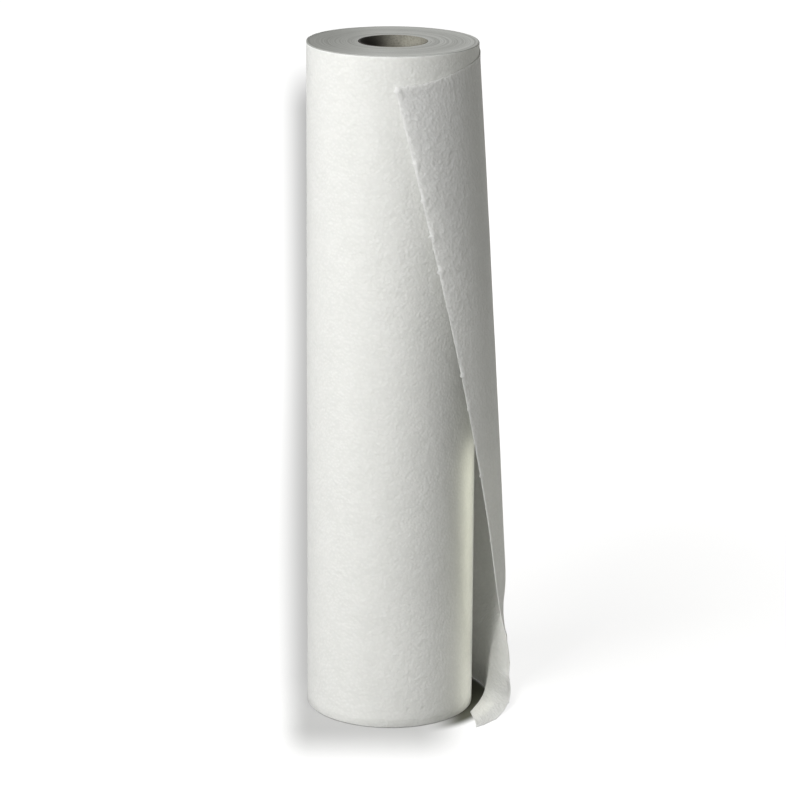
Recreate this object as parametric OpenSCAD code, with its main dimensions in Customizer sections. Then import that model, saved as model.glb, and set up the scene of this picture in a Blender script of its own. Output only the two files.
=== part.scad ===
// Couch roll of soft white paper on a cardboard core, standing on end.
// The end of the web has come loose and stands off the roll as a flared sheet.
// Millimetres, +Z up. The origin is on the axis of the core, in the plane of the lower end.

/* [Roll] */
// Width of the paper web, which is the height of the standing roll
web_w = 500; // [420:1:620]
// Outer diameter of the wound paper
roll_d = 124; // [100:1:150]
// Bevel of the outermost turns at both ends
rim_bevel = 0.8; // [0.3:0.1:2]

/* [Core] */
// Outer diameter of the cardboard core, which is the inner diameter of the paper
core_od = 50; // [40:1:60]
// Wall of the cardboard core
core_wall = 1.5; // [1:0.1:3]

/* [Turns on the end faces] */
// Rings of turns that show on each end face
ring_count = 16; // [6:1:24]
// Depth of the line between two rings
ring_depth = 0.5; // [0.2:0.1:1.2]
// Width of the line between two rings
ring_line_w = 0.8; // [0.4:0.1:1.2]

/* [Loose sheet] */
// Thickness of the loose sheet
sheet_t = 0.6; // [0.4:0.1:1]
// Gap between the sheet and the roll at the right side, at the foot
flare = 28.5; // [16:0.5:40]
// Distance below the upper end at which the flare starts
flare_start = 13; // [5:1:40]
// Least gap between the sheet and the roll
sheet_lift = 0.5; // [0.4:0.1:1.5]
// How far the upper free corner hangs below the upper end
corner_drop = 21.5; // [10:0.5:35]
// Direction of the upper free corner, from the right side towards the front
corner_angle = 88.5; // [70:0.5:100]
// Gap between the turned-in lower margin and the foot of the roll
foot_gap = 1.5; // [1:0.5:6]

/* [Hidden] */

roll_r = roll_d / 2;
core_r = core_od / 2;
bore_r = core_r - core_wall;

// Directions around the axis are in degrees, from +X towards -Y, where the viewer is
root_angle = -170;
root_share = 0.04;
root_rise = 2 * root_share;
root_sink = 1.2;
turn_in_from = -95;
turn_in_span = 50;
turn_in_height = 50;
settle_height = 300;
settle_power = 0.7;
held_until = 0.8;
edge_bend = 0.28;
floor_clearance = 0.05;
lying_z = sheet_t + floor_clearance;

// Lower part of the free edge, which has bent round on the table:
// distance along the edge from the lower corner, direction, height
LOWER_EDGE = [
    [0, 40, 0],
    [15, 43, 0],
    [40, 29, 0.3],
    [65, 11, 5],
    [85, -6, 11],
    [105, -3, 24],
    [125, 9, 46],
    [150, 21, 80]
];
edge_bend_end = LOWER_EDGE[len(LOWER_EDGE) - 1];
upper_steps = 6;

// Upper part of the free edge, from the end of the bend to the upper corner
function upper_edge(share) = [
    edge_bend_end[0] + (web_w - edge_bend_end[0]) * share,
    edge_bend_end[1] + (corner_angle - edge_bend_end[1])
        * ((1 - edge_bend) * share + edge_bend * share * share),
    edge_bend_end[2] + (web_w - corner_drop - edge_bend_end[2]) * share
];
EDGE = concat(LOWER_EDGE, [for (i = [1:upper_steps]) upper_edge(i / upper_steps)]);
last_edge = len(EDGE) - 1;

// Smooth curve through the points of the free edge
function edge_slope(i) =
    let (a = max(i - 1, 0), b = min(i + 1, last_edge))
    (EDGE[b] - EDGE[a]) / (EDGE[b][0] - EDGE[a][0]);
function edge_span(d, i = 0) =
    (i >= last_edge - 1 || d < EDGE[i + 1][0]) ? i : edge_span(d, i + 1);
function edge_at(d) =
    let (
        i = edge_span(d),
        h = EDGE[i + 1][0] - EDGE[i][0],
        s = (d - EDGE[i][0]) / h,
        s2 = s * s,
        s3 = s2 * s
    )
    (2 * s3 - 3 * s2 + 1) * EDGE[i] + (s3 - 2 * s2 + s) * h * edge_slope(i)
    + (3 * s2 - 2 * s3) * EDGE[i + 1] + (s3 - s2) * h * edge_slope(i + 1);

function clamp01(x) = min(max(x, 0), 1);
function ease(x) = let (t = clamp01(x)) t * t * (3 - 2 * t);

// Gap of the flare at a height, and the inner radius of the sheet there
function flare_gap(z) = flare * max(0, 1 - z / (web_w - flare_start));
function wall_r(angle, z) = roll_r + flare_gap(z) * (1 + cos(angle)) / 2;

// Inner face of the sheet: u runs from the root to the free edge, d is the distance
// from the lower margin
function sheet_point(u, d) =
    let (
        edge = edge_at(d),
        angle = root_angle + (edge[1] - root_angle) * u,
        low_row = ease((settle_height - d) / (settle_height - edge_bend_end[0])),
        settle = low_row * pow(ease(u), settle_power) + (1 - low_row) * u * u * u,
        z = max(d + (edge[2] - d) * settle, lying_z),
        open_r = wall_r(angle, z),
        turn = ease((angle - turn_in_from) / turn_in_span) * max(0, 1 - d / turn_in_height),
        held = 1 - ease((u - held_until) / (1 - held_until)) * clamp01(d / LOWER_EDGE[1][0]),
        margin_r = open_r - max(0, open_r - roll_r - foot_gap) * turn * held,
        lift = sheet_lift * ease(u / root_rise),
        sink = root_sink * (1 - ease(u / root_share)),
        r = margin_r + lift - sink
    )
    [r * cos(angle), -r * sin(angle), z];

// Outward direction of the sheet at a point
probe = 0.01;
function sheet_normal(u, d) =
    let (
        u0 = max(u - probe, 0),
        u1 = min(u + probe, 1),
        d0 = max(d - probe * web_w, 0),
        d1 = min(d + probe * web_w, web_w),
        n = cross(sheet_point(u0, d) - sheet_point(u1, d), sheet_point(u, d1) - sheet_point(u, d0))
    )
    n / norm(n);

// Rows of the sheet are closer together in the bend than above it
bend_rows = 15;
open_rows = 12;
columns = 30;
rows = bend_rows + open_rows;
function row_distance(j) =
    j < bend_rows ? edge_bend_end[0] * j / bend_rows
    : edge_bend_end[0] + (web_w - edge_bend_end[0]) * (j - bend_rows) / open_rows;
function inner_point(i, j) = sheet_point(i / columns, row_distance(j));
function outer_point(i, j) =
    let (
        p = inner_point(i, j) + sheet_t * sheet_normal(i / columns, row_distance(j))
    )
    [p[0], p[1], max(p[2], floor_clearance)];

// Sides of the round forms, and how far a cut reaches past an end
core_sides = 128;
roll_sides = 180;
past_end = 1;

module core_tube() {
    color("tan")
    difference() {
        cylinder(h = web_w, r = core_r, $fn = core_sides);
        translate([0, 0, -past_end])
        cylinder(h = web_w + 2 * past_end, r = bore_r, $fn = core_sides);
    }
}

// Half section of the wound paper, with a fine line between each two rings
function ring_radius(i) = core_r + (roll_r - core_r) * i / ring_count;
function end_line(z, into) = [
    for (i = [1:ring_count - 1])
    each [
        [ring_radius(i) - ring_line_w / 2, z],
        [ring_radius(i), z + into * ring_depth],
        [ring_radius(i) + ring_line_w / 2, z]
    ]
];
function reversed(list) = [for (i = [len(list) - 1:-1:0]) list[i]];

module wound_paper() {
    rotate_extrude($fn = roll_sides)
    polygon(concat(
        [[core_r, 0]],
        end_line(0, 1),
        [
            [roll_r - rim_bevel, 0],
            [roll_r, rim_bevel],
            [roll_r, web_w - rim_bevel],
            [roll_r - rim_bevel, web_w]
        ],
        reversed(end_line(web_w, -1)),
        [[core_r, web_w]]
    ));
}

// The loose sheet as one closed shell: inner face, outer face and its four edges
module loose_sheet() {
    row_len = columns + 1;
    face_len = row_len * (rows + 1);
    function inner_at(i, j) = j * row_len + i;
    function outer_at(i, j) = face_len + j * row_len + i;
    points = concat(
        [for (j = [0:rows]) for (i = [0:columns]) inner_point(i, j)],
        [for (j = [0:rows]) for (i = [0:columns]) outer_point(i, j)]
    );
    function quad(a, b, c, d) = [[a, b, c], [a, c, d]];
    inner_face = [
        for (j = [0:rows - 1]) for (i = [0:columns - 1])
        each quad(inner_at(i, j), inner_at(i, j + 1), inner_at(i + 1, j + 1), inner_at(i + 1, j))
    ];
    outer_face = [
        for (j = [0:rows - 1]) for (i = [0:columns - 1])
        each quad(outer_at(i, j), outer_at(i + 1, j), outer_at(i + 1, j + 1), outer_at(i, j + 1))
    ];
    margins = [
        for (i = [0:columns - 1])
        each concat(
            quad(inner_at(i, 0), inner_at(i + 1, 0), outer_at(i + 1, 0), outer_at(i, 0)),
            quad(inner_at(i, rows), outer_at(i, rows), outer_at(i + 1, rows), inner_at(i + 1, rows))
        )
    ];
    ends = [
        for (j = [0:rows - 1])
        each concat(
            quad(inner_at(0, j), outer_at(0, j), outer_at(0, j + 1), inner_at(0, j + 1)),
            quad(
                inner_at(columns, j), inner_at(columns, j + 1),
                outer_at(columns, j + 1), outer_at(columns, j)
            )
        )
    ];
    polyhedron(points, concat(inner_face, outer_face, margins, ends), convexity = 6);
}

module paper_roll() {
    color("whitesmoke")
    union() {
        wound_paper();
        loose_sheet();
    }
}

core_tube();
paper_roll();
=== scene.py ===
import math
import random

import bpy
from mathutils import Matrix, Vector, noise


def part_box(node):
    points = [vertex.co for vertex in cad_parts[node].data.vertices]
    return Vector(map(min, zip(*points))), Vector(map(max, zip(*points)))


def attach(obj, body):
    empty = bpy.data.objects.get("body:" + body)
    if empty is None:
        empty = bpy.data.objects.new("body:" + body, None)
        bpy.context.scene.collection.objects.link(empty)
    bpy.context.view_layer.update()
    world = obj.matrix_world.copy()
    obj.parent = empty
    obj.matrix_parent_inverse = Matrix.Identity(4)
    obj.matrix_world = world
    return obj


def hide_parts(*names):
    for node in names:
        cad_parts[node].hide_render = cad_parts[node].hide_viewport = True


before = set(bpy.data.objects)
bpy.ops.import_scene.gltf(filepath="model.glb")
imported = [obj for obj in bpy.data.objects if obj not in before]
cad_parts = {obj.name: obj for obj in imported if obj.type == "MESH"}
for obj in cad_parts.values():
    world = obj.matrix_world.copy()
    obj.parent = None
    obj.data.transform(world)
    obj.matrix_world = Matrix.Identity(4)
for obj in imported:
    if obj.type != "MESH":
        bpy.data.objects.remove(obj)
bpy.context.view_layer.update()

# Sizes in metres. The roll stands on its lower end, with its axis on Z.
core_low, core_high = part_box("core_tube")
paper_low, paper_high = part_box("paper_roll")
web_w = core_high[2]
core_r = core_high[0]
core_wall = 0.0015
roll_r = round(-paper_low[0], 3)
rim = 0.0008

# The loose sheet. Directions are in degrees round the axis, from +X towards the viewer.
ply_t = 0.0004
root_angle = -170.0
root_share = 0.08
flare = 0.0285
flare_start = 0.013
sheet_lift = 0.0008
hug_w = 0.1
hug_lift = 0.0003
parting_relief = 0.00022
corner_drop = 0.0215
corner_angle = 88.5
settle_height = 0.300
settle_power = 0.7
edge_bend = 0.28
# The foot of the sheet is drawn in towards the roll, more so towards the front
tuck_height = 0.105
tuck_from = -130.0
tuck_span = 80.0
foot_gap_side = 0.0135
foot_gap_front = 0.0035
foot_front = 28.0
foot_side = -30.0
# Last stretch before the free edge, which turns outwards below
lip_w = 0.022
lip_power = 1.2
lying_z = 0.00035
# Lower part of the free edge, bent round on the table: distance along it, direction, height
lower_edge = [
    (0.000, 43.0, 0.0000),
    (0.015, 39.0, 0.0000),
    (0.040, 29.0, 0.0003),
    (0.065, 11.0, 0.0050),
    (0.085, -6.0, 0.0110),
    (0.105, -3.0, 0.0240),
    (0.125, 7.0, 0.0460),
    (0.150, 19.0, 0.0800),
]
upper_steps = 6
# Where that last stretch starts: distance along the edge, direction, height
lip_line = [
    (0.000, 25.0, 0.0000),
    (0.020, 20.0, 0.0015),
    (0.040, 12.0, 0.0032),
    (0.060, 2.0, 0.0070),
    (0.080, -8.0, 0.0160),
    (0.100, -14.0, 0.0310),
    (0.120, -9.0, 0.0510),
    (0.150, 6.0, 0.0850),
]

# Perforation of the free edge: little tags stand out where the ties were torn
tag_pitch = 0.0228
tag_from_top = 0.003
tag_length = 0.0018
tag_half_width = 0.0009
tag_strength = [1.0, 0.2, 0.9, 0.8, 1.0, 1.0, 0.2, 0.3, 0.8]
pucker = 0.0011
edge_curl = 0.0003

# How finely the paper is drawn
near_tag = [-0.0016, -0.0008, 0.0, 0.0008, 0.0016]
between_tags = [-0.0095, -0.0055, 0.0055, 0.0095, 0.01275]
between_tags_low = [-0.0105, -0.008, -0.0055, -0.0032, 0.0032, 0.0055, 0.008, 0.0105, 0.01275]
near_edge = [0.0, 0.0007, 0.0016, 0.0026, 0.0038, 0.0055, 0.008]
columns_loose = 96
columns_round = 108
ring_loops = 92


def clamp01(x):
    return min(max(x, 0.0), 1.0)


def ease(x):
    t = clamp01(x)
    return t * t * (3 - 2 * t)


def mix(a, b, share):
    return a + (b - a) * share


def at(angle, r, z):
    a = math.radians(angle)
    return Vector((r * math.cos(a), -r * math.sin(a), z))


def clear_selection():
    bpy.ops.object.select_all(action="DESELECT")


# The free edge, as a smooth curve through its points
bend_end = lower_edge[-1]


def upper_edge_point(share):
    turn = (1 - edge_bend) * share + edge_bend * share * share
    return (
        mix(bend_end[0], web_w, share),
        mix(bend_end[1], corner_angle, turn),
        mix(bend_end[2], web_w - corner_drop, share),
    )


def upper_lip_point(share):
    d, direction, height = upper_edge_point(share)
    back = math.degrees(lip_w / roll_r) * mix(0.75, 1.0, share)
    return d, direction - back, mix(height, d, 0.08)


upper_shares = [i / upper_steps for i in range(1, upper_steps + 1)]
edge_points = [Vector(p) for p in lower_edge] + [Vector(upper_edge_point(x)) for x in upper_shares]
lip_points = [Vector(p) for p in lip_line] + [Vector(upper_lip_point(x)) for x in upper_shares]


def slope_at(points, i):
    a = max(i - 1, 0)
    b = min(i + 1, len(points) - 1)
    return (points[b] - points[a]) / (points[b].x - points[a].x)


def along(points, d):
    """Direction and height of a line of the sheet at a distance up from its lower margin."""
    i = 0
    while i < len(points) - 2 and d >= points[i + 1].x:
        i += 1
    h = points[i + 1].x - points[i].x
    s = (d - points[i].x) / h
    p = (2 * s**3 - 3 * s**2 + 1) * points[i]
    p += (s**3 - 2 * s**2 + s) * h * slope_at(points, i)
    p += (3 * s**2 - 2 * s**3) * points[i + 1]
    p += (s**3 - s**2) * h * slope_at(points, i + 1)
    return p.y, p.z


# Tags of the perforation, and how strongly each one shows
random.seed(7)
tags = []
for k in range(int((web_w - tag_from_top) / tag_pitch) + 1):
    if k < len(tag_strength):
        strength = tag_strength[k]
    else:
        strength = random.uniform(0.3, 0.9)
    tags.append((web_w - tag_from_top - k * tag_pitch, strength))


def nearest_tag(d):
    return min(tags, key=lambda tag: abs(tag[0] - d))


def bell(x):
    return math.exp(-x * x)


def edge_reach(d):
    """How far the torn edge stands out past its straight line."""
    place, strength = nearest_tag(d)
    tag = tag_length * strength * bell((d - place) / tag_half_width)
    return tag + 0.00018 * noise.noise(Vector((d * 700, 3.1, 0.0)))


sheet_arc = math.radians(corner_angle - root_angle) * (roll_r + 0.004)


def soft_wave(s, d):
    """Slow waves of the loose paper, from 0 to 1."""
    slow = noise.noise(Vector((s * 17, d * 11, 5.2)))
    quick = noise.noise(Vector((s * 48, d * 30, 9.7)))
    return clamp01(0.5 + 0.5 * slow + 0.22 * quick)


def open_radius(angle, z):
    """Radius of the flare at a direction and a height."""
    gap = flare * max(0.0, 1 - z / (web_w - flare_start))
    return roll_r + gap * (1 + math.cos(math.radians(angle))) / 2


def wall_radius(angle, z):
    """Radius of the standing sheet, with its foot drawn in."""
    tuck = (1 - ease(z / tuck_height)) * ease((angle - tuck_from) / tuck_span)
    front = ease((angle - foot_side) / (foot_front - foot_side))
    foot = roll_r + mix(foot_gap_side, foot_gap_front, front)
    return mix(open_radius(angle, z), foot, tuck)


def sheet_point(from_edge, d):
    """Middle of the loose sheet at a distance from its free edge and from its lower margin."""
    u = 1 - from_edge / sheet_arc
    lip_u = 1 - lip_w / sheet_arc
    edge_angle, edge_z = along(edge_points, d)
    lip_angle, lip_z = along(lip_points, d)
    before = clamp01(u / lip_u)
    lip = max(0.0, (u - lip_u) / (1 - lip_u))
    angle = mix(mix(root_angle, lip_angle, before), edge_angle, lip)
    low_row = ease((settle_height - d) / (settle_height - bend_end[0]))
    settle = low_row * ease(before) ** settle_power + (1 - low_row) * before**3
    z = max(mix(mix(d, lip_z, settle), edge_z, lip), lying_z)
    edge_r = open_radius(edge_angle, edge_z)
    turned_out = max(0.0, edge_r - wall_radius(edge_angle, edge_z))
    r = wall_radius(angle, z) + turned_out * lip**lip_power
    out = ease(u / root_share)
    hugging = ease((d - web_w + hug_w) / hug_w)
    r += mix(-ply_t / 2, mix(sheet_lift, hug_lift, hugging), out)
    loose = ease(u / 0.4) * clamp01(d / 0.05) * (1 - hugging)
    r += 0.0008 * soft_wave(from_edge, d) * loose
    place, strength = nearest_tag(d)
    r += pucker * strength * bell((d - place) / 0.0024) * bell((from_edge - 0.002) / 0.0018)
    r -= edge_curl * math.exp(-max(from_edge, 0.0) / 0.0012)
    return at(angle, r, z)


def sheet_normal(from_edge, d):
    step = 0.0012
    s0 = max(from_edge - step, 0.0)
    s1 = min(from_edge + step, sheet_arc)
    d0 = max(d - step, 0.0)
    d1 = min(d + step, web_w)
    back = sheet_point(s1, d) - sheet_point(s0, d)
    up = sheet_point(from_edge, d1) - sheet_point(from_edge, d0)
    return up.cross(back).normalized()


def sheet_faces(from_edge, d):
    """Outer and inner face of the sheet."""
    reach = edge_reach(d) if from_edge == 0 else 0.0
    p = sheet_point(from_edge - reach, d)
    if from_edge >= sheet_arc:
        return at(root_angle, roll_r, p.z), at(root_angle, roll_r - ply_t, p.z)
    n = sheet_normal(from_edge, d) * ply_t / 2
    outer, inner = p + n, p - n
    outer.z = max(outer.z, 0.00005)
    inner.z = max(inner.z, 0.00005)
    return outer, inner


def rim_share(share):
    """The rim's bevel fades out where the sheet leaves the roll."""
    return ease(share / 0.04) * ease((1 - share) / 0.04)


def round_radius(share):
    """The turn winds inwards by one ply, with a small relief where the sheet parts from it."""
    return roll_r - ply_t * share - parting_relief * ease((share - 0.98) / 0.012)


def round_point(share, d):
    """Outermost turn of the roll, from the root of the sheet all the way round to under it."""
    fade = rim_share(share)
    angle = root_angle - 360 * share
    low = mix(lying_z, rim, fade)
    high = web_w - rim * fade
    z = min(max(d, low), high)
    a = math.radians(angle)
    slow = noise.noise(Vector((1.6 * math.cos(a), 1.6 * math.sin(a), d * 9)))
    quick = noise.noise(Vector((4 * math.cos(a), 4 * math.sin(a), d * 26 + 40)))
    r = round_radius(share) + fade * (0.00022 * slow + 0.00008 * quick - 0.00015)
    return at(angle, r, z)


# Rows up the web, closer together at each tag and in the bend
rows = {0.0, web_w}
for place, strength in tags:
    fillers = between_tags_low if place < bend_end[0] + tag_pitch / 2 else between_tags
    for offset in near_tag + fillers:
        if 0.0012 < place + offset < web_w - 0.0012:
            rows.add(round(place + offset, 6))
rows = sorted(rows)

# Columns of the loose sheet, as distances from its free edge
even_step = (sheet_arc - near_edge[-1]) / (columns_loose - len(near_edge) + 1)
columns = near_edge[:-1]
columns += [near_edge[-1] + i * even_step for i in range(columns_loose - len(near_edge) + 2)]
columns[-1] = sheet_arc


def shaped_grid(name, points_by_row, uvs_by_row):
    """A grid primitive with each of its points moved to its place, and a UV map in metres."""
    across = len(points_by_row[0]) - 1
    up = len(points_by_row) - 1
    clear_selection()
    bpy.ops.mesh.primitive_grid_add(x_subdivisions=across, y_subdivisions=up, size=1)
    piece = bpy.context.object
    piece.name = name
    mesh = piece.data
    mesh.name = name
    flat = [c for row in points_by_row for p in row for c in p]
    mesh.vertices.foreach_set("co", flat)
    uvs = [uv for row in uvs_by_row for uv in row]
    layer = mesh.uv_layers.active.data
    for loop in mesh.loops:
        layer[loop.index].uv = uvs[loop.vertex_index]
    mesh.update()
    return piece


def web_skin():
    """Both faces of the loose sheet, its free edge and the outermost turn, all in one strip."""
    points = []
    uvs = []
    shares = [k / columns_round for k in range(1, columns_round)]
    for d in rows:
        faces = [sheet_faces(s, d) for s in columns]
        outer = [f[0] for f in faces]
        inner = [f[1] for f in reversed(faces)]
        turn = [round_point(share, d) for share in shares]
        points.append(outer + turn + inner + outer[:1])
        row_uvs = [(s, d) for s in columns]
        row_uvs += [(sheet_arc + share * math.tau * roll_r, d) for share in shares]
        row_uvs += [(-s, d) for s in reversed(columns)]
        row_uvs += [(0.0, d)]
        uvs.append(row_uvs)
    return shaped_grid("web_skin", points, uvs), points


def margin_strip(name, row, d):
    """Cut edge of the loose sheet between its two faces, at its upper or lower margin."""
    count = len(columns)
    outer = row[:count]
    inner = list(reversed(row[-1 - count:-1]))
    uvs = [(s, d) for s in columns]
    return shaped_grid(name, [outer, inner], [uvs, uvs])


def turn_relief(r, angle):
    """How deep the ends of the turns lie below the end plane: lines of unlike depth, and steps."""
    a = math.radians(angle)
    drift = 0.35 * noise.noise(Vector((math.cos(a), math.sin(a), r * 60)))
    x = (r - core_r) * 1000
    lean = 0.0
    for pitch, depth, phase in ((3.1, 0.00016, 0.3), (1.9, 0.0001, 0.0)):
        turns = x / pitch + phase + 0.3 * noise.noise(Vector((x * 0.4, pitch, 1.0)))
        part = turns - math.floor(turns)
        lean += depth * (1 - part) * ease(part / 0.18)
    line = noise.noise(Vector((x * 1.35, drift, 2.0)))
    fine = noise.noise(Vector((x * 2.9, drift + 4, 7.0)))
    groove = 0.00022 * max(0.0, line) + 0.0001 * max(0.0, fine)
    broad = 0.00025 * (0.5 + 0.5 * noise.noise(Vector((x * 0.22, 3.0, 0.5 * drift))))
    return lean + groove + broad


def end_cap(name, row, end_z, inward):
    """One end of the roll: its rounded rim and the ends of all its turns, down to the core."""
    count = len(columns)
    first = row[count - 1:count + columns_round]
    shares = [k / columns_round for k in range(columns_round + 1)]
    quarter = [0.3, 0.65, 1.0]
    loops = [first]
    for q in quarter:
        a = q * math.pi / 2
        loop = []
        for k, share in enumerate(shares):
            fade = rim_share(share)
            r = roll_r - ply_t - rim * fade * (1 - math.cos(a))
            start_z = first[k].z
            z = mix(start_z, end_z, math.sin(a) if q < 1.0 else 1.0)
            loop.append(at(root_angle - 360 * share, r, z))
        loops.append(loop)
    for m in range(1, ring_loops + 1):
        loop = []
        for share in shares:
            outer_r = roll_r - ply_t - rim * rim_share(share)
            r = mix(outer_r, core_r, m / ring_loops)
            angle = root_angle - 360 * (share % 1.0)
            near_rim = ease(m / 4)
            loop.append(at(angle, r, end_z + inward * near_rim * turn_relief(r, angle)))
        loops.append(loop)
    uvs = [[(p.x, p.y) for p in loop] for loop in loops]
    return shaped_grid(name, loops, uvs), loops[-1]


def inner_wall(top, bottom):
    turns = [k / columns_round * math.tau * core_r for k in range(columns_round + 1)]
    return shaped_grid("inner_wall", [bottom, top], [[(x, z) for x in turns] for z in (0, web_w)])


def joined(name, parts):
    """Joins parts into one closed piece, with its normals outwards."""
    clear_selection()
    for part in parts:
        part.select_set(True)
    bpy.context.view_layer.objects.active = parts[0]
    bpy.ops.object.join()
    piece = bpy.context.object
    piece.name = name
    piece.data.name = name
    bpy.ops.object.mode_set(mode="EDIT")
    bpy.ops.mesh.select_all(action="SELECT")
    bpy.ops.mesh.remove_doubles(threshold=0.00001)
    bpy.ops.mesh.normals_make_consistent(inside=False)
    bpy.ops.object.mode_set(mode="OBJECT")
    return piece


# Shader node groups

def new_group(name, inputs, outputs):
    group = bpy.data.node_groups.new(name, "ShaderNodeTree")
    for socket_name, kind, value in inputs:
        socket = group.interface.new_socket(name=socket_name, in_out="INPUT", socket_type=kind)
        if value is not None:
            socket.default_value = value
    for socket_name, kind in outputs:
        group.interface.new_socket(name=socket_name, in_out="OUTPUT", socket_type=kind)
    nodes = group.nodes
    return group, nodes.new("NodeGroupInput"), nodes.new("NodeGroupOutput")


class Sheet:
    """Short ways to add and link nodes in a node tree."""

    def __init__(self, tree):
        self.tree = tree

    def add(self, kind, **settings):
        node = self.tree.nodes.new(kind)
        for key, value in settings.items():
            setattr(node, key, value)
        return node

    def put(self, value, socket):
        if isinstance(value, bpy.types.NodeSocket):
            self.tree.links.new(value, socket)
        elif value is not None:
            socket.default_value = value

    def math(self, operation, a, b=None, c=None, clamp=False):
        node = self.add("ShaderNodeMath", operation=operation, use_clamp=clamp)
        for value, socket in zip((a, b, c), node.inputs):
            self.put(value, socket)
        return node.outputs[0]

    def vector_math(self, operation, a, b=None):
        node = self.add("ShaderNodeVectorMath", operation=operation)
        self.put(a, node.inputs[0])
        self.put(b, node.inputs[1])
        if operation in ("LENGTH", "DOT_PRODUCT"):
            return node.outputs["Value"]
        return node.outputs["Vector"]

    def noise(self, vector, scale, detail=2.0, roughness=0.5, distortion=0.0):
        node = self.add("ShaderNodeTexNoise")
        self.put(vector, node.inputs["Vector"])
        node.inputs["Scale"].default_value = scale
        node.inputs["Detail"].default_value = detail
        node.inputs["Roughness"].default_value = roughness
        node.inputs["Distortion"].default_value = distortion
        return node.outputs["Fac"]

    def range(self, value, low, high, to_low=0.0, to_high=1.0, smooth=True):
        node = self.add("ShaderNodeMapRange")
        if smooth:
            node.interpolation_type = "SMOOTHSTEP"
        self.put(value, node.inputs["Value"])
        self.put(low, node.inputs["From Min"])
        self.put(high, node.inputs["From Max"])
        self.put(to_low, node.inputs["To Min"])
        self.put(to_high, node.inputs["To Max"])
        return node.outputs["Result"]

    def mix_color(self, share, a, b):
        node = self.add("ShaderNodeMix", data_type="RGBA")
        self.put(share, node.inputs["Factor"])
        self.put(a, node.inputs["A"])
        self.put(b, node.inputs["B"])
        return node.outputs["Result"]


def pebble_group():
    """Soft embossed pebbles and creped fibres of tissue, over a vector in metres."""
    group, start, end = new_group(
        "tissue_relief",
        [("Place", "NodeSocketVector", None), ("Pebble", "NodeSocketFloat", 0.0023)],
        [("Height", "NodeSocketFloat"), ("Mottle", "NodeSocketFloat")],
    )
    s = Sheet(group)
    place = start.outputs["Place"]
    per_pebble = s.math("DIVIDE", 1.0, start.outputs["Pebble"])
    cells = s.add("ShaderNodeTexVoronoi", feature="SMOOTH_F1")
    s.put(place, cells.inputs["Vector"])
    s.put(per_pebble, cells.inputs["Scale"])
    cells.inputs["Smoothness"].default_value = 0.5
    dome = s.range(cells.outputs["Distance"], 0.1, 0.75, 1.0, 0.0)
    crumple = s.noise(place, 170.0, 1.5, 0.45, 0.5)
    fibre = s.noise(place, 1900.0, 3.0, 0.6)
    height = s.math("MULTIPLY_ADD", crumple, 2.8, s.math("MULTIPLY", dome, 0.85))
    height = s.math("MULTIPLY_ADD", fibre, 0.22, height)
    s.put(height, end.inputs["Height"])
    cloud = s.noise(place, 55.0, 3.0, 0.55)
    mottle = s.math("MULTIPLY_ADD", dome, 0.45, cloud)
    s.put(mottle, end.inputs["Mottle"])
    return group


def rough_surface(s, shader, height, strength, depth):
    """Bump from a height value, as deep as given in metres."""
    bump = s.add("ShaderNodeBump")
    bump.inputs["Strength"].default_value = strength
    bump.inputs["Distance"].default_value = depth
    s.put(height, bump.inputs["Height"])
    s.put(bump.outputs["Normal"], shader.inputs["Normal"])


def separate(s, vector):
    apart = s.add("ShaderNodeSeparateXYZ")
    s.put(vector, apart.inputs["Vector"])
    return apart.outputs


def new_material(name):
    material = bpy.data.materials.new(name)
    material.use_nodes = True
    tree = material.node_tree
    tree.nodes.clear()
    s = Sheet(tree)
    shader = s.add("ShaderNodeBsdfPrincipled")
    out = s.add("ShaderNodeOutputMaterial")
    tree.links.new(shader.outputs["BSDF"], out.inputs["Surface"])
    return material, s, shader


def soft_paper(relief):
    """Matt white two-ply paper, softly embossed, with a painted highlight along its cut upper margin and
    its torn free edge.
    """
    material, s, shader = new_material("soft_paper")
    uv = s.add("ShaderNodeUVMap")
    pebbles = s.add("ShaderNodeGroup")
    pebbles.node_tree = relief
    s.put(uv.outputs["UV"], pebbles.inputs["Place"])
    apart = separate(s, uv.outputs["UV"])
    from_edge = s.math("ABSOLUTE", apart["X"])
    from_top = s.math("SUBTRACT", web_w, apart["Y"])
    nearest = s.math("MINIMUM", from_edge, from_top)
    # Painted highlight: the paper is drawn whiter within about 1.6 mm of its upper margin and of its torn
    # free edge.
    painted_edge_highlight = s.range(nearest, 0.0005, 0.0016, 1.0, 0.0)
    mottle = s.range(pebbles.outputs["Mottle"], 0.35, 1.0, 0.0, 1.0, smooth=False)
    body = s.mix_color(mottle, (0.835, 0.84, 0.812, 1), (0.885, 0.888, 0.86, 1))
    colour = s.mix_color(painted_edge_highlight, body, (0.92, 0.922, 0.9, 1))
    s.put(colour, shader.inputs["Base Color"])
    softer = s.range(from_edge, 0.05, 0.13, 1.3, 0.9)
    rough_surface(s, shader, s.math("MULTIPLY", pebbles.outputs["Height"], softer), 0.8, 0.0002)
    shader.inputs["Roughness"].default_value = 0.92
    shader.inputs["Specular IOR Level"].default_value = 0.2
    shader.inputs["Sheen Weight"].default_value = 0.12
    shader.inputs["Sheen Roughness"].default_value = 0.5
    shader.inputs["Subsurface Weight"].default_value = 0.8
    shader.inputs["Subsurface Radius"].default_value = (1.0, 1.0, 1.0)
    shader.inputs["Subsurface Scale"].default_value = 0.0012
    return material


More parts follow.
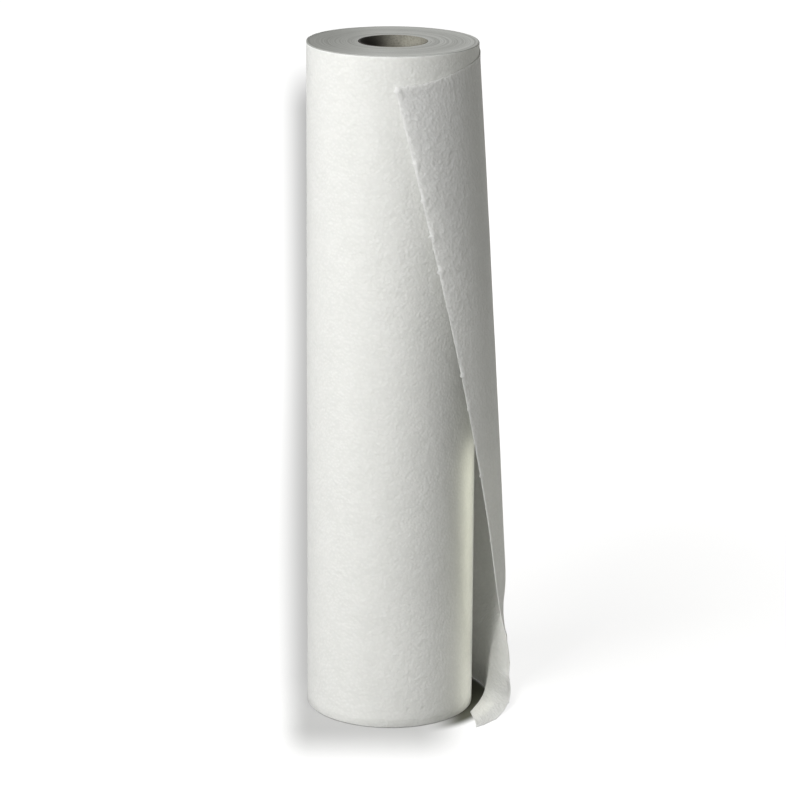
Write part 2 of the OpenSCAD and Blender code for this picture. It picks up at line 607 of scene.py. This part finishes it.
def wound_ends():
    """Ends of the wound turns: fine lines of unlike grey, round the axis, with painted shade that darkens
    them towards -X.
    """
    material, s, shader = new_material("wound_ends")
    place = s.add("ShaderNodeTexCoord").outputs["Object"]
    flat = s.vector_math("MULTIPLY", place, (1.0, 1.0, 0.0))
    radius = s.vector_math("LENGTH", flat)
    line_place = s.add("ShaderNodeCombineXYZ")
    s.put(radius, line_place.inputs["X"])
    drift = s.noise(flat, 22.0, 1.0)
    s.put(s.math("MULTIPLY", drift, 0.0012), line_place.inputs["Y"])
    fine = s.noise(line_place.outputs["Vector"], 1700.0, 2.0, 0.6)
    broad = s.noise(line_place.outputs["Vector"], 330.0, 2.0, 0.5)
    fibre = s.noise(place, 1500.0, 2.0, 0.6)
    tone = s.math("MULTIPLY_ADD", fine, 0.6, s.math("MULTIPLY", broad, 0.7))
    tone = s.math("MULTIPLY_ADD", fibre, 0.25, tone)
    shade = s.range(tone, 0.5, 1.05, 0.0, 1.0, smooth=False)
    # Painted shade: the ends are drawn darker over the half towards -X, down to a tenth of their tone at
    # the far side.
    shade = s.math("MULTIPLY", shade, s.range(separate(s, place)["X"], -0.055, 0.0, 0.1, 1.0))
    colour = s.mix_color(shade, (0.40, 0.405, 0.385, 1), (0.80, 0.81, 0.785, 1))
    s.put(colour, shader.inputs["Base Color"])
    rough_surface(s, shader, tone, 0.6, 0.00012)
    shader.inputs["Roughness"].default_value = 0.95
    shader.inputs["Specular IOR Level"].default_value = 0.15
    return material


def core_board():
    """Grey-tan wound board, with fibres and the lines where its strips meet, and painted shade that makes
    it nearly black towards -X.
    """
    material, s, shader = new_material("core_board")
    place = s.add("ShaderNodeTexCoord").outputs["Object"]
    fibre = s.noise(place, 900.0, 3.0, 0.6)
    cloud = s.noise(place, 90.0, 2.0, 0.5)
    tone = s.math("MULTIPLY_ADD", fibre, 0.6, s.math("MULTIPLY", cloud, 0.5))
    shade = s.range(tone, 0.35, 0.8, 0.3, 1.0, smooth=False)
    # Painted shade: the board is drawn nearly black towards -X, where the bore lies in shadow.
    shade = s.math("MULTIPLY", shade, s.range(separate(s, place)["X"], -0.018, 0.012, 0.0, 1.0))
    colour = s.mix_color(shade, (0.03, 0.028, 0.024, 1), (0.46, 0.445, 0.375, 1))
    s.put(colour, shader.inputs["Base Color"])
    rough_surface(s, shader, fibre, 0.4, 0.0001)
    shader.inputs["Roughness"].default_value = 0.85
    shader.inputs["Specular IOR Level"].default_value = 0.25
    return material


def make_core():
    """Core of wound board strips: a tube whose faces step a little at the seams of the strips."""
    around = 96
    strip_rise = 0.105
    seam = 0.00022
    seam_w = 0.02
    lip_share = 0.4
    rows_up = 160
    inner_r = core_r - core_wall
    edge = 0.00025

    def seam_depth(k, z):
        turn = z / strip_rise - k / around
        part = turn - math.floor(turn)
        if part < 0.5:
            return seam * (1 - ease(part / seam_w))
        return seam * lip_share * ease((part - 1 + seam_w * 1.5) / (seam_w * 1.5))

    heights = [edge + (web_w - 2 * edge) * j / rows_up for j in range(rows_up + 1)]
    section = [(core_r - edge, 0.0)]
    section += [(core_r, edge), (core_r, web_w - edge)]
    section += [(core_r - edge, web_w)]
    section += [(core_r - core_wall / 2, web_w - 0.00015)]
    section += [(inner_r + edge, web_w)]
    section += [(inner_r, z) for z in reversed(heights)]
    section += [(inner_r + edge, 0.0)]
    section += [(core_r - core_wall / 2, 0.00015)]
    section += [(core_r - edge, 0.0)]
    points = []
    for r, z in section:
        loop = []
        for k in range(around + 1):
            depth = seam_depth(k % around, z) if r == inner_r else 0.0
            loop.append(at(360 * k / around, r + depth, z))
        points.append(loop)
    uvs = [[(k / around, i / len(section)) for k in range(around + 1)] for i in range(len(section))]
    core = shaped_grid("core", points, uvs)
    return joined("core", [core])


def set_smooth(piece, angle):
    clear_selection()
    piece.select_set(True)
    bpy.context.view_layer.objects.active = piece
    bpy.ops.object.shade_smooth_by_angle(angle=math.radians(angle))


relief = pebble_group()
paper = soft_paper(relief)
ends = wound_ends()
board = core_board()

skin, skin_points = web_skin()
skin.data.materials.append(paper)
upper_strip = margin_strip("upper_margin", skin_points[-1], web_w)
upper_strip.data.materials.append(paper)
lower_strip = margin_strip("lower_margin", skin_points[0], 0.0)
lower_strip.data.materials.append(paper)
upper_cap, upper_ring = end_cap("upper_end", skin_points[-1], web_w, -1)
upper_cap.data.materials.append(ends)
lower_cap, lower_ring = end_cap("lower_end", skin_points[0], 0.0, 1)
lower_cap.data.materials.append(ends)
wall = inner_wall(upper_ring, lower_ring)
wall.data.materials.append(ends)
web = joined("paper_web", [skin, upper_strip, lower_strip, upper_cap, lower_cap, wall])
set_smooth(web, 55)
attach(web, "root")
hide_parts("paper_roll")

core = make_core()
core.data.materials.append(board)
set_smooth(core, 40)
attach(core, "root")
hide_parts("core_tube")


# Stage, lights and camera

def make_floor():
    clear_selection()
    bpy.ops.mesh.primitive_plane_add(size=24, location=(0, 0, 0))
    floor = bpy.context.object
    floor.name = "floor"
    material = bpy.data.materials.new("pale_floor")
    material.use_nodes = True
    tree = material.node_tree
    tree.nodes.clear()
    s = Sheet(tree)
    diffuse = s.add("ShaderNodeBsdfDiffuse")
    glow = s.add("ShaderNodeEmission")
    glow.inputs["Color"].default_value = (1, 1, 1, 1)
    path = s.add("ShaderNodeLightPath")
    seen = s.math("MAXIMUM", path.outputs["Is Camera Ray"], path.outputs["Is Glossy Ray"])
    seen = s.math("MAXIMUM", seen, path.outputs["Is Transmission Ray"])
    place = s.add("ShaderNodeTexCoord").outputs["Object"]
    apart = separate(s, place)
    across, along_y = apart["X"], apart["Y"]
    # A painted soft shadow that runs straight back from the roll, a little to its left, dimming the
    # floor's glow
    spread = s.math("DIVIDE", s.math("SUBTRACT", across, 0.009), s.math("ADD", along_y, 2.582))
    shadow = s.math("MULTIPLY", s.range(spread, -0.0385, -0.0265), s.range(spread, 0.004, 0.024, 1.0, 0.0))
    shadow = s.math("MULTIPLY", shadow, s.range(along_y, -0.145, -0.058))
    shadow = s.math("MULTIPLY", shadow, s.range(along_y, 2.25, 2.75, 1.0, 0.0))
    # Painted shade in the gap of the sheet: the floor there is drawn dark olive and does not glow
    from_roll = s.vector_math("LENGTH", s.vector_math("SUBTRACT", place, (0.004, 0.004, 0.0)))
    gap = s.math("MULTIPLY", s.range(from_roll, 0.068, 0.080, 1.0, 0.0), s.range(across, 0.025, 0.055))
    s.put(s.mix_color(gap, (0.36, 0.36, 0.355, 1), (0.13, 0.132, 0.108, 1)), diffuse.inputs["Color"])
    far = s.range(s.vector_math("LENGTH", place), 0.25, 1.1, 0.84, 0.99)
    glowing = s.math("MULTIPLY", far, s.math("MULTIPLY_ADD", shadow, -0.66, 1.0))
    glowing = s.math("MULTIPLY", glowing, s.math("MULTIPLY_ADD", gap, -1.0, 1.0))
    s.put(s.math("MULTIPLY", seen, glowing), glow.inputs["Strength"])
    both = s.add("ShaderNodeAddShader")
    out = s.add("ShaderNodeOutputMaterial")
    tree.links.new(diffuse.outputs["BSDF"], both.inputs[0])
    tree.links.new(glow.outputs["Emission"], both.inputs[1])
    tree.links.new(both.outputs["Shader"], out.inputs["Surface"])
    floor.data.materials.append(material)


def make_world(light, shown):
    world = bpy.data.worlds.new("studio")
    bpy.context.scene.world = world
    world.use_nodes = True
    tree = world.node_tree
    tree.nodes.clear()
    s = Sheet(tree)
    path = s.add("ShaderNodeLightPath")
    seen = s.math("MAXIMUM", path.outputs["Is Camera Ray"], path.outputs["Is Glossy Ray"])
    seen = s.math("MAXIMUM", seen, path.outputs["Is Transmission Ray"])
    back = s.add("ShaderNodeBackground")
    s.put(s.mix_color(seen, light, shown), back.inputs["Color"])
    out = s.add("ShaderNodeOutputWorld")
    tree.links.new(back.outputs["Background"], out.inputs["Surface"])


def add_light(name, direction, rise, distance, size, strength, colour=(1, 1, 1), aim=0.25):
    """A soft box at a direction in degrees from +X towards the viewer, rise above the horizon.

    Strength is the brightness that it gives a white surface that faces it."""
    rise_r = math.radians(rise)
    place = at(direction, distance * math.cos(rise_r), aim + distance * math.sin(rise_r))
    data = bpy.data.lights.new(name, "AREA")
    data.shape = "RECTANGLE"
    data.size = size[0]
    data.size_y = size[1]
    data.energy = strength * math.pi * math.pi * distance * distance
    data.color = colour
    light = bpy.data.objects.new(name, data)
    bpy.context.scene.collection.objects.link(light)
    light.location = place
    back = (place - Vector((0, 0, aim))).normalized()
    light.rotation_euler = back.to_track_quat("Z", "Y").to_euler()


def add_gap_light(direction, r, height, size, lean, glow):
    """A soft strip of light in the gap of the sheet, for the light that comes through the paper."""
    data = bpy.data.lights.new("gap_strip", "AREA")
    data.shape = "RECTANGLE"
    data.size, data.size_y = size
    data.energy = glow * math.pi * size[0] * size[1]
    data.color = (1.0, 1.0, 0.82)
    light = bpy.data.objects.new("gap_strip", data)
    bpy.context.scene.collection.objects.link(light)
    light.location = at(direction, r, height)
    outwards = at(direction, math.cos(math.radians(lean)), math.sin(math.radians(lean)))
    light.rotation_euler = outwards.to_track_quat("Z", "Y").to_euler()
    light.visible_camera = False


def add_foot_light(direction, distance, aim, glow):
    """A narrow soft spot on the turned-out foot of the sheet."""
    data = bpy.data.lights.new("foot_spot", "SPOT")
    data.energy = glow * 4 * math.pi * math.pi * distance * distance
    data.spot_size = math.radians(2.1)
    data.spot_blend = 1.0
    data.shadow_soft_size = 0.05
    light = bpy.data.objects.new("foot_spot", data)
    bpy.context.scene.collection.objects.link(light)
    light.location = Vector(aim) + at(direction, distance * 0.94, distance * 0.34)
    back = (light.location - Vector(aim)).normalized()
    light.rotation_euler = back.to_track_quat("Z", "Y").to_euler()


make_floor()
make_world((0.14, 0.14, 0.132, 1), (1, 1, 1, 1))
add_light("key", 137, 40, 2.8, (1.6, 1.6), 0.59)
add_light("front", 120, 22, 2.8, (1.1, 1.1), 0.385, aim=0.1)
add_light("fill_right", -15, 8, 2.2, (1.0, 1.0), 0.15, (1.0, 1.0, 0.94))
add_gap_light(22, 0.0775, 0.105, (0.022, 0.20), 1.7, 0.6)
add_foot_light(115, 1.6, (0.083, -0.008, 0.022), 0.45)


def make_camera():
    """The photograph's view, found from the roll's outline."""
    across, back, high = 0.0091972, 2.3199332, 0.9081099
    yaw, pitch, roll = -0.0034, 0.2808, 0.005
    focal_px, frame_px = 3290.552, 786
    look = Vector((math.sin(yaw) * math.cos(pitch), math.cos(yaw) * math.cos(pitch), -math.sin(pitch)))
    level = Vector((math.cos(yaw), -math.sin(yaw), 0))
    upright = level.cross(look)
    right = level * math.cos(roll) + upright * math.sin(roll)
    up = upright * math.cos(roll) - level * math.sin(roll)
    data = bpy.data.cameras.new("camera")
    data.sensor_width = 36
    data.lens = focal_px * data.sensor_width / frame_px
    data.clip_end = 50
    camera = bpy.data.objects.new("camera", data)
    bpy.context.scene.collection.objects.link(camera)
    camera.matrix_world = Matrix((
        (right.x, up.x, -look.x, across),
        (right.y, up.y, -look.y, -back),
        (right.z, up.z, -look.z, high),
        (0, 0, 0, 1),
    ))
    bpy.context.scene.camera = camera


make_camera()
bpy.context.scene.view_settings.view_transform = "Standard"
